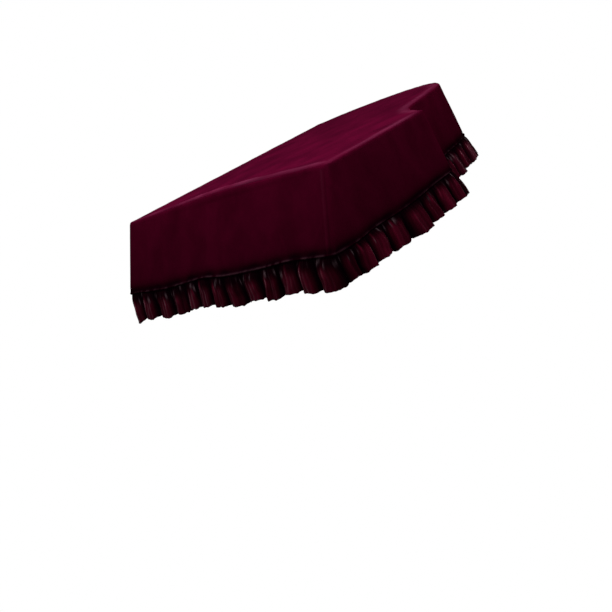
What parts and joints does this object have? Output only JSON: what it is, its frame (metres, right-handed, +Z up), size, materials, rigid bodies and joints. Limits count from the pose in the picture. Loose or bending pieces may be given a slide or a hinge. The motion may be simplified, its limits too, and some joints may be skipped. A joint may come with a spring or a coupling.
{
  "type": "fitted grand piano cover",
  "caption": "Fitted velvet cover shaped to a small grand piano's closed lid, with straight skirts and a gathered ruffle round the hem; hollow and open below.",
  "frame": {"origin": "on the underside of the top panel, midway across the lid and 0.70 m behind its keyboard edge, where the lid carries the cover", "axes": "+X towards the treble side, +Y towards the tail, +Z up"},
  "size_m": [1.6285, 1.8304, 0.4898],
  "materials": {
    "panel_velvet": "dark wine-red cotton velvet, soft short pile",
    "ruffle_velvet": "the same velvet gathered into a ruffle, pile lighter along the crests"
  },
  "bodies": {
    "root": {"top_panel": "panel_velvet", "front_skirt": "panel_velvet", "cheek_skirt": "panel_velvet", "bentside_skirt": "panel_velvet", "tail_skirt": "panel_velvet", "bass_skirt": "panel_velvet", "front_ruffle": "ruffle_velvet", "cheek_ruffle": "ruffle_velvet", "bentside_ruffle": "ruffle_velvet", "tail_ruffle": "ruffle_velvet", "bass_ruffle": "ruffle_velvet"}
  },
  "joints": []
}
